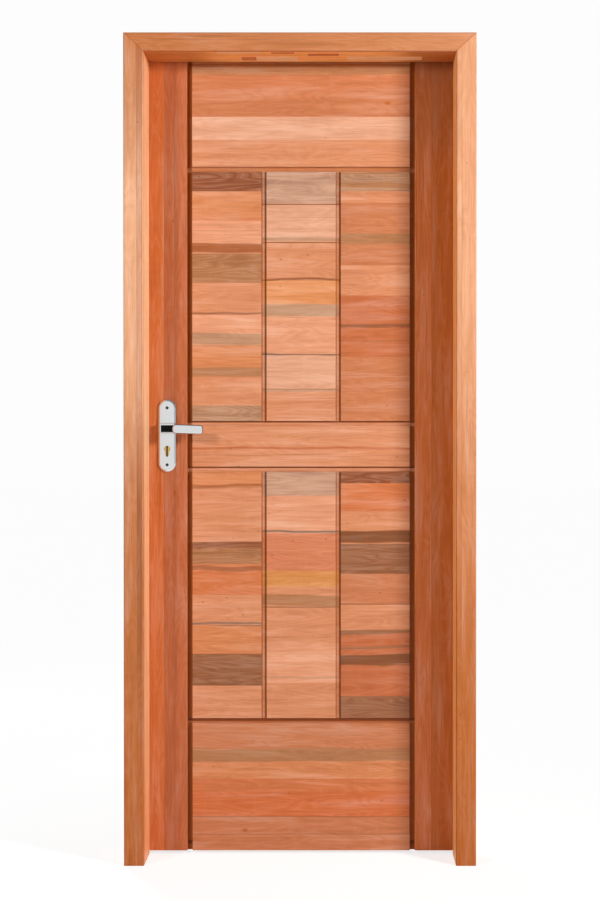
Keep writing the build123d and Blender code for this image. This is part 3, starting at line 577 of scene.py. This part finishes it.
def grow_figure(tree, board, seed, wood):
    """The patterns of the wood. Each strip has a place of its own in the noise."""
    patterns = {}
    for name, (run, breadth, detail, roughness, distortion) in FIGURE.items():
        scale = (1 / getattr(wood, run), 1 / getattr(wood, breadth), 1 / getattr(wood, breadth))
        inputs = {
            "Vector": calc_vector(tree, "MULTIPLY", board.grain, scale),
            "W": seed,
            "Scale": 1.0,
            "Detail": detail,
            "Roughness": roughness,
            "Distortion": distortion,
        }
        patterns[name] = add(tree, "TexNoise", inputs, noise_dimensions="4D").outputs["Fac"]
    rings = calc(tree, "MULTIPLY", patterns["field"], RINGS_IN_FIELD)
    patterns["rings"] = calc(tree, "PINGPONG", rings, RING_HALF)
    scale = (PORE_STRETCH / wood.pore_spacing, 1 / wood.pore_spacing, 1 / wood.pore_spacing)
    dots = calc_vector(tree, "MULTIPLY", board.grain, scale)
    patterns["pores"] = add(tree, "TexVoronoi", {"Vector": dots, "Scale": 1.0}).outputs["Distance"]
    patterns["ends"] = board.end_grain
    return patterns


def drift_shares(tree, board, wood):
    """Shares and tones of the slow changes along a board; on the head jamb and the hinge stile they are
    painted shade.
    """
    shares = []
    for name, strip, stops in DRIFTS.get(board.node, ()):
        greys = [(place, (grey, grey, grey, 1)) for place, grey in stops]
        share = paint_ramp(tree, board.run, greys, "EASE")["Color"]
        if strip is not None:
            start, end = (edge * MM / board.width for edge in strip)
            inside = calc(tree, "COMPARE", board.share, (start + end) / 2, (end - start) / 2)
            share = calc(tree, "MULTIPLY", share, inside)
        shares.append((share, getattr(wood, name)))
    return shares


def streak_shares(tree, board, wave, wood):
    """Shares and tones of the heartwood streaks, whose edges stray with a wave."""
    if board.node not in STREAKS:
        return []
    stray = remap(tree, wave, 0.0, 1.0, -wood.streak_wave, wood.streak_wave)
    strayed = calc(tree, "ADD", board.across, stray)
    line = remap(tree, strayed, board.first, board.last)
    ramp = paint_ramp(tree, line, streak_bands(board, wood), "LINEAR")
    return [(ramp["Alpha"], ramp["Color"])]


def in_halves(tree, board, run, place, half_run, half_width):
    """The way from a mark's centre along and across the grain, counted in halves of the mark."""
    from_centre = calc_vector(tree, "SUBTRACT", board.grain, (run * MM, place * MM, 0))
    return calc_vector(tree, "MULTIPLY", from_centre, (1 / (half_run * MM), 1 / (half_width * MM), 0))


def block_shares(tree, board, wood):
    """Shares and tones of the blocks let in by finger joints."""
    shares = []
    for *spot, name in BLOCKS.get(board.node, ()):
        sides = calc_vector(tree, "ABSOLUTE", in_halves(tree, board, *spot))
        sides = add(tree, "SeparateXYZ", {"Vector": sides}).outputs
        reach = calc(tree, "MAXIMUM", sides["X"], sides["Y"])
        shares.append((calc(tree, "LESS_THAN", reach, 1.0), getattr(wood, name)))
    return shares


def knot_shares(tree, board, wood):
    """Shares and tones of the round knots, which are darkest at heart."""
    shares = []
    for spot in KNOTS.get(board.node, ()):
        reach = span(tree, in_halves(tree, board, *spot))
        shares.append((remap(tree, reach, KNOT_RIM, KNOT_HEART, most=KNOT_SHARE), wood.stain_and_shade))
    return shares


def groove_shade_share(tree, board, wood):
    """Share of the painted shade in the deep grooves between the stiles and the field, fuller with depth."""
    node = board.node
    stile_low, stile_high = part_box("hinge_stile")
    low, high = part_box(node)
    lip_low, lip_high = (lip * MM for lip in SHADED_GROOVES[node])
    half = wood.groove_width / 2
    side = calc(tree, "ABSOLUTE", board.place["X"])
    between = calc(tree, "COMPARE", side, stile_low.x - half, half + SLACK)
    level = (low.z + lip_low + high.z - lip_high) / 2
    beside = calc(tree, "COMPARE", board.place["Z"], level, high.z - lip_high - level)
    middle = (stile_low.y + stile_high.y) / 2
    face = stile_high.y - middle
    aside = calc(tree, "ABSOLUTE", calc(tree, "SUBTRACT", board.place["Y"], middle))
    # Painted shade, fuller the deeper the face lies.
    deep = remap(tree, aside, face - GROOVE_RIM, face - wood.groove_depth, most=GROOVE_SHARE)
    return calc(tree, "MULTIPLY", calc(tree, "MULTIPLY", between, beside), deep)


def seam_shares(tree, board, wood):
    """Shares and tones of the painted shade on the sunk lips of the shallow seams, darkest in their corners.
    """
    node = board.node
    axis, all_over, in_corner, corner_shadow, reach = SEAMS[node]
    low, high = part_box(node)
    index = "XYZ".index(axis)
    middle = (low[index] + high[index]) / 2
    half = wood.groove_width / 2
    from_middle = calc(tree, "SUBTRACT", board.place[axis], middle)
    outward = calc(tree, "SIGN", from_middle)
    off_seam = calc(tree, "ABSOLUTE", from_middle)
    off_seam = calc(tree, "SUBTRACT", off_seam, high[index] - middle - wood.tongue - half)
    near = calc(tree, "COMPARE", off_seam, 0.0, half + SLACK)
    off_seam = calc(tree, "MULTIPLY", off_seam, outward)
    face = (high.y - low.y) / 2
    aside = calc(tree, "ABSOLUTE", calc(tree, "SUBTRACT", board.place["Y"], (low.y + high.y) / 2))
    sunk = calc(tree, "MULTIPLY", remap(tree, aside, face - SEAM_RIM, face - SEAM_FLOOR), near)
    # Painted shade over the sunk lip, fuller in its lower or left corner, and painted shadow in its upper or
    # right corner.
    inner = half - reach * MM
    lip_shade = remap(tree, off_seam, SEAM_SHADE_START - half, SEAM_SHADE_FULL - half, all_over, in_corner)
    filled = remap(tree, off_seam, inner, inner + CORNER_SHADOW_FADE, most=corner_shadow)
    return [
        (calc(tree, "MULTIPLY", sunk, lip_shade), wood.stain_and_shade),
        (calc(tree, "MULTIPLY", sunk, filled), wood.corner_shadow),
    ]


def mitre_share(tree, board):
    """One on the thin dark line of a mitre between the head of the casing and a side."""
    head_low, head_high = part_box("casing_head")
    inner = -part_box("casing_left")[1].x
    slope = (head_high.x - inner) / (head_high.z - head_low.z)
    side = calc(tree, "ABSOLUTE", board.place["X"])
    line = calc(tree, "MULTIPLY_ADD", board.place["Z"], slope, inner - head_low.z * slope)
    return calc(tree, "COMPARE", side, line, MITRE_HALF)


def oiled_wood(node, wood):
    """Oiled hardwood, planed and glued from strips.

    The eye sees the sharp change of tone from strip to strip, heartwood streaks with straying edges, slow
    clouds along the grain, rings cut by the surface, fine fibres, faint bars across them and a few dark
    pores. The oil leaves a low sheen. Painted shade darkens the deep grooves and the shallow seams.
    """
    material, tree = new_material("oiled_strips_" + node)
    board = lay_board(tree, node)
    tones, traits = strip_bands(board, wood)
    colour = paint_ramp(tree, board.share, tones, "CONSTANT")["Color"]
    traits = paint_ramp(tree, board.share, traits, "CONSTANT")["Color"]
    trait = add(tree, "SeparateColor", {"Color": traits}).outputs
    patterns = grow_figure(tree, board, calc(tree, "MULTIPLY", trait["Red"], SEED_REACH), wood)

    # Laid over the strips before the figure.
    colour = blend(tree, colour, drift_shares(tree, board, wood))
    colour = blend(tree, colour, streak_shares(tree, board, patterns["wave"], wood))
    colour = blend(tree, colour, block_shares(tree, board, wood))

    # The figure darkens or pales whatever tone it falls on.
    shades = {}
    for name, (hue, saturation, value) in SHADES.items():
        inputs = {"Hue": hue, "Saturation": saturation, "Value": value, "Color": colour}
        shades[name] = add(tree, "HueSaturation", inputs).outputs["Color"]
    factors = {}
    for name, start, full, most, shade in LAYERS:
        most = trait[most] if isinstance(most, str) else most
        factors[name] = remap(tree, patterns[name], start, full, most=most)
        colour = blend(tree, colour, [(factors[name], shades[shade])])

    # Knots, the painted shade in the grooves and the seams, and the mitres are darker than any figure.
    marks = knot_shares(tree, board, wood)
    if node in SHADED_GROOVES:
        marks.append((groove_shade_share(tree, board, wood), wood.stain_and_shade))
    if node in SEAMS:
        marks += seam_shares(tree, board, wood)
    if node.startswith("casing"):
        marks.append((mitre_share(tree, board), wood.stain_and_shade))
    colour = blend(tree, colour, marks)

    height = calc(tree, "SUBTRACT", patterns["fibres"], factors["rings"])
    relief = add(tree, "Bump", {"Height": height, "Strength": GRAIN_STRENGTH, "Distance": GRAIN_HEIGHT})
    inputs = {
        "Roughness": remap(tree, patterns["fibres"], 0.0, 1.0, *WOOD_ROUGHNESS),
        "Normal": relief.outputs["Normal"],
        "IOR": OIL_IOR,
        "Specular IOR Level": OIL_SPECULAR,
    }
    finish_shader(tree, colour, inputs)
    return material


def polished_metal(name, metal, keyway=None, arris_shade=None):
    """A metal with the fine level marks of the polishing wheel, which break up its gloss a little.

    A keyway, given as its middle in X, is painted near-black as the shade inside its slot. The steep
    arrises, where they turn away from the front and the back, are painted darker as shade.
    """
    colour, roughness = METALS[name]
    material, tree = new_material(name)
    coordinates = add(tree, "TexCoord").outputs
    place = coordinates["Object"]
    scale = (1 / metal.brush_length, 1 / metal.brush_length, 1 / metal.brush_width)
    inputs = {"Vector": calc_vector(tree, "MULTIPLY", place, scale), "Scale": 1.0, "Detail": MARK_DETAIL}
    marks = add(tree, "TexNoise", inputs).outputs["Fac"]
    gloss = remap(tree, marks, 0.0, 1.0, roughness - MARK_ROUGHNESS, roughness + MARK_ROUGHNESS)
    inputs = {"Value": remap(tree, marks, 0.0, 1.0, *MARK_VALUE), "Color": (*getattr(metal, colour), 1)}
    base = add(tree, "HueSaturation", inputs).outputs["Color"]
    # Painted shade inside the keyway.
    if keyway is not None:
        across = add(tree, "SeparateXYZ", {"Vector": place}).outputs["X"]
        inside = calc(tree, "COMPARE", across, keyway, metal.keyway_width / 2)
        base = blend(tree, base, [(inside, metal.keyway_shade)])
    # Painted shade on the steep arrises.
    if arris_shade is not None:
        facing = add(tree, "SeparateXYZ", {"Vector": coordinates["Normal"]}).outputs["Y"]
        steep = remap(tree, calc(tree, "ABSOLUTE", facing), ARRIS_START, ARRIS_FULL)
        base = blend(tree, base, [(steep, arris_shade)])
    relief = add(tree, "Bump", {"Height": marks, "Strength": MARK_STRENGTH, "Distance": MARK_HEIGHT})
    inputs = {"Metallic": 1.0, "Roughness": gloss, "Normal": relief.outputs["Normal"]}
    finish_shader(tree, base, inputs)
    return material


def gloss_tile(name, colour):
    """A gloss black tile: deep colour under a clear skin with a little orange peel."""
    material, tree = new_material(name)
    place = add(tree, "TexCoord").outputs["Object"]
    inputs = {"Vector": place, "Scale": 1 / PEEL_SIZE, "Detail": 1.0}
    peel = add(tree, "TexNoise", inputs).outputs["Fac"]
    inputs = {"Value": remap(tree, peel, 0.0, 1.0, *PEEL_VALUE), "Color": (*colour, 1)}
    base = add(tree, "HueSaturation", inputs).outputs["Color"]
    relief = add(tree, "Bump", {"Height": peel, "Strength": PEEL_STRENGTH, "Distance": PEEL_HEIGHT})
    inputs = {
        "Roughness": TILE_ROUGHNESS,
        "Normal": relief.outputs["Normal"],
        "IOR": TILE_IOR,
        "Specular IOR Level": TILE_SPECULAR,
    }
    finish_shader(tree, base, inputs)
    return material


def dress(nodes, material):
    """Puts a material on CAD nodes."""
    if not nodes:
        raise RuntimeError("no piece takes the material " + material.name)
    for node in nodes:
        if node not in NODES:
            raise RuntimeError("the frame has no piece " + node)
        slots = NODES[node].data.materials
        slots.clear()
        slots.append(material)


class DOOR_OT_dress_panels(bpy.types.Operator):
    """Gives the six panels their glued strips"""

    bl_idname = "door.dress_panels"
    bl_label = "Dress Panels"
    bl_options = {"REGISTER", "UNDO"}

    def execute(self, context):
        for node in (name for name in BOARDS if name.startswith("panel_")):
            dress([node], oiled_wood(node, context.scene.door_wood))
        return {"FINISHED"}


class DOOR_OT_dress_rails_and_stiles(bpy.types.Operator):
    """Gives the rails their level grain and the stiles their upright grain"""

    bl_idname = "door.dress_rails_and_stiles"
    bl_label = "Dress Rails and Stiles"
    bl_options = {"REGISTER", "UNDO"}

    def execute(self, context):
        for node in ("bottom_rail", "lock_rail", "top_rail", "lock_stile", "hinge_stile"):
            dress([node], oiled_wood(node, context.scene.door_wood))
        return {"FINISHED"}


class DOOR_OT_dress_frame(bpy.types.Operator):
    """Gives the jambs, the head and the casing their wood"""

    bl_idname = "door.dress_frame"
    bl_label = "Dress Frame"
    bl_options = {"REGISTER", "UNDO"}

    def execute(self, context):
        for node in ("strike_jamb", "hinge_jamb", "head_jamb", "casing_left", "casing_right", "casing_head"):
            dress([node], oiled_wood(node, context.scene.door_wood))
        return {"FINISHED"}


class DOOR_OT_dress_handles(bpy.types.Operator):
    """Gives the plates and the levers satin chrome, and the levers their black tiles"""

    bl_idname = "door.dress_handles"
    bl_label = "Dress Handles"
    bl_options = {"REGISTER", "UNDO"}

    def execute(self, context):
        metal = context.scene.door_metal
        chrome = polished_metal("satin_chrome", metal, arris_shade=metal.arris_shade)
        dress(("front_plate", "back_plate", "front_lever", "back_lever"), chrome)
        dress(("front_inlay", "back_inlay"), gloss_tile("black_tile", metal.tile))
        return {"FINISHED"}


class DOOR_OT_dress_lock(bpy.types.Operator):
    """Gives the key cylinder brass, and the lock, the strike, the hinges and the screws their steels"""

    bl_idname = "door.dress_lock"
    bl_label = "Dress Lock and Hinges"
    bl_options = {"REGISTER", "UNDO"}

    def execute(self, context):
        metal = context.scene.door_metal
        low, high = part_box("cylinder_body")
        keyways = {"satin_brass": (low.x + high.x) / 2}
        pieces = frame["record"]["subparts"]
        for slot, name in SLOTS.items():
            nodes = [piece["node"] for piece in pieces if piece["material_slot"] == slot]
            dress(nodes, polished_metal(name, metal, keyway=keyways.get(name)))
        # The plate screws are drawn near-black as painted shade.
        dress(["plate_screws"], polished_metal("blackened_steel", metal))
        return {"FINISHED"}


def seen_ray(tree):
    """One where a ray comes from the camera, or by way of a gloss or a clear piece."""
    path = add(tree, "LightPath").outputs
    seen = calc(tree, "MAXIMUM", path["Is Camera Ray"], path["Is Glossy Ray"])
    return calc(tree, "MAXIMUM", seen, path["Is Transmission Ray"])


class DOOR_OT_set_stage(bpy.types.Operator):
    """Lays the floor, hangs the lamps and places the camera"""

    bl_idname = "door.set_stage"
    bl_label = "Set Stage"
    bl_options = {"REGISTER", "UNDO"}

    def execute(self, context):
        scene = context.scene
        stage = scene.door_stage
        scene.view_settings.view_transform = "Standard"
        self.lay_floor(scene, stage)
        self.light_sky(scene, stage)
        for name, (place, size) in LAMPS.items():
            self.hang_lamp(scene, name, place, size, getattr(stage, name + "_power"))
        self.place_camera(scene, stage)
        return {"FINISHED"}

    def lay_floor(self, scene, stage):
        """A pale floor that keeps the door's shadow near it and goes over to white away from it."""
        mesh = bpy.data.meshes.new("floor")
        shape = bmesh.new()
        bmesh.ops.create_grid(shape, x_segments=1, y_segments=1, size=FLOOR_HALF)
        shape.to_mesh(mesh)
        shape.free()
        floor = bpy.data.objects.new("floor", mesh)
        scene.collection.objects.link(floor)
        material, tree = new_material("pale_floor")
        seen = seen_ray(tree)
        away = span(tree, add(tree, "TexCoord").outputs["Object"])
        glow = calc(tree, "MULTIPLY", seen, remap(tree, away, FADE_START, FADE_END, *FLOOR_GLOW))
        paint = remap(tree, away, FADE_START, FADE_END, *FLOOR_PAINT)
        paint = blend(tree, (*stage.bounce, 1), [(seen, paint)])
        emission = add(tree, "Emission", {"Color": (*stage.floor, 1), "Strength": glow}).outputs["Emission"]
        matt = add(tree, "BsdfDiffuse", {"Color": paint}).outputs["BSDF"]
        both = add(tree, "AddShader", {0: emission, 1: matt}).outputs["Shader"]
        add(tree, "OutputMaterial", {"Surface": both})
        mesh.materials.append(material)

    def light_sky(self, scene, stage):
        """A white backdrop with a little even light, and darker sides for the metals to mirror."""
        scene.world = bpy.data.worlds.new("studio")
        scene.world.use_nodes = True
        tree = scene.world.node_tree
        tree.nodes.clear()
        way = add(tree, "TexCoord").outputs["Generated"]
        ahead = add(tree, "SeparateXYZ", {"Vector": way}).outputs["Y"]
        gloss = add(tree, "LightPath").outputs["Is Glossy Ray"]
        aside = calc(tree, "MULTIPLY", remap(tree, ahead, SIDES_START, SIDES_FULL), gloss)
        colour = blend(tree, (*stage.floor, 1), [(aside, stage.sides)])
        strength = remap(tree, seen_ray(tree), 0.0, 1.0, stage.world_light, 1.0)
        sky = add(tree, "Background", {"Color": colour, "Strength": strength})
        add(tree, "OutputWorld", {"Surface": sky.outputs["Background"]})

    def hang_lamp(self, scene, name, place, size, power):
        """A square lamp aimed at the door, which no metal mirrors."""
        lamp = bpy.data.lights.new(name, "AREA")
        lamp.shape = "SQUARE"
        lamp.size = size
        lamp.energy = power
        hung = bpy.data.objects.new(name, lamp)
        hung.location = place
        hung.rotation_euler = (AIM - Vector(place)).to_track_quat("-Z", "Y").to_euler()
        hung.visible_glossy = False
        scene.collection.objects.link(hung)

    def place_camera(self, scene, stage):
        """The camera in front of the door, a little to the right of its middle."""
        camera = bpy.data.cameras.new("camera")
        camera.sensor_width = SENSOR_WIDTH
        camera.lens = stage.lens
        camera.shift_x = stage.camera_shift
        seat = bpy.data.objects.new("camera", camera)
        seat.location = (stage.camera_across, -stage.camera_back, stage.camera_height)
        seat.rotation_euler = (math.pi / 2 - stage.camera_dip, 0, 0)
        scene.collection.objects.link(seat)
        scene.camera = seat


class DOOR_PT_sidebar(bpy.types.Panel):
    """Lists the steps that dress the door"""

    bl_idname = "DOOR_PT_sidebar"
    bl_label = "Prehung Door"
    bl_space_type = "VIEW_3D"
    bl_region_type = "UI"
    bl_category = "Door"

    def draw(self, context):
        for step in STEPS:
            self.layout.operator(step.bl_idname)


STEPS = (
    DOOR_OT_dress_panels,
    DOOR_OT_dress_rails_and_stiles,
    DOOR_OT_dress_frame,
    DOOR_OT_dress_handles,
    DOOR_OT_dress_lock,
    DOOR_OT_set_stage,
)
SETTINGS = {"door_wood": DoorWood, "door_metal": DoorMetal, "door_stage": DoorStage}


def register():
    for group in SETTINGS.values():
        bpy.utils.register_class(group)
    for step in STEPS:
        bpy.utils.register_class(step)
    bpy.utils.register_class(DOOR_PT_sidebar)
    for name, group in SETTINGS.items():
        setattr(bpy.types.Scene, name, PointerProperty(type=group))


def unregister():
    for name in SETTINGS:
        delattr(bpy.types.Scene, name)
    bpy.utils.unregister_class(DOOR_PT_sidebar)
    for step in reversed(STEPS):
        bpy.utils.unregister_class(step)
    for group in SETTINGS.values():
        bpy.utils.unregister_class(group)


def main():
    register()
    bpy.ops.door.dress_panels()
    bpy.ops.door.dress_rails_and_stiles()
    bpy.ops.door.dress_frame()
    bpy.ops.door.dress_handles()
    bpy.ops.door.dress_lock()
    bpy.ops.door.set_stage()


if __name__ == "__main__":
    main()
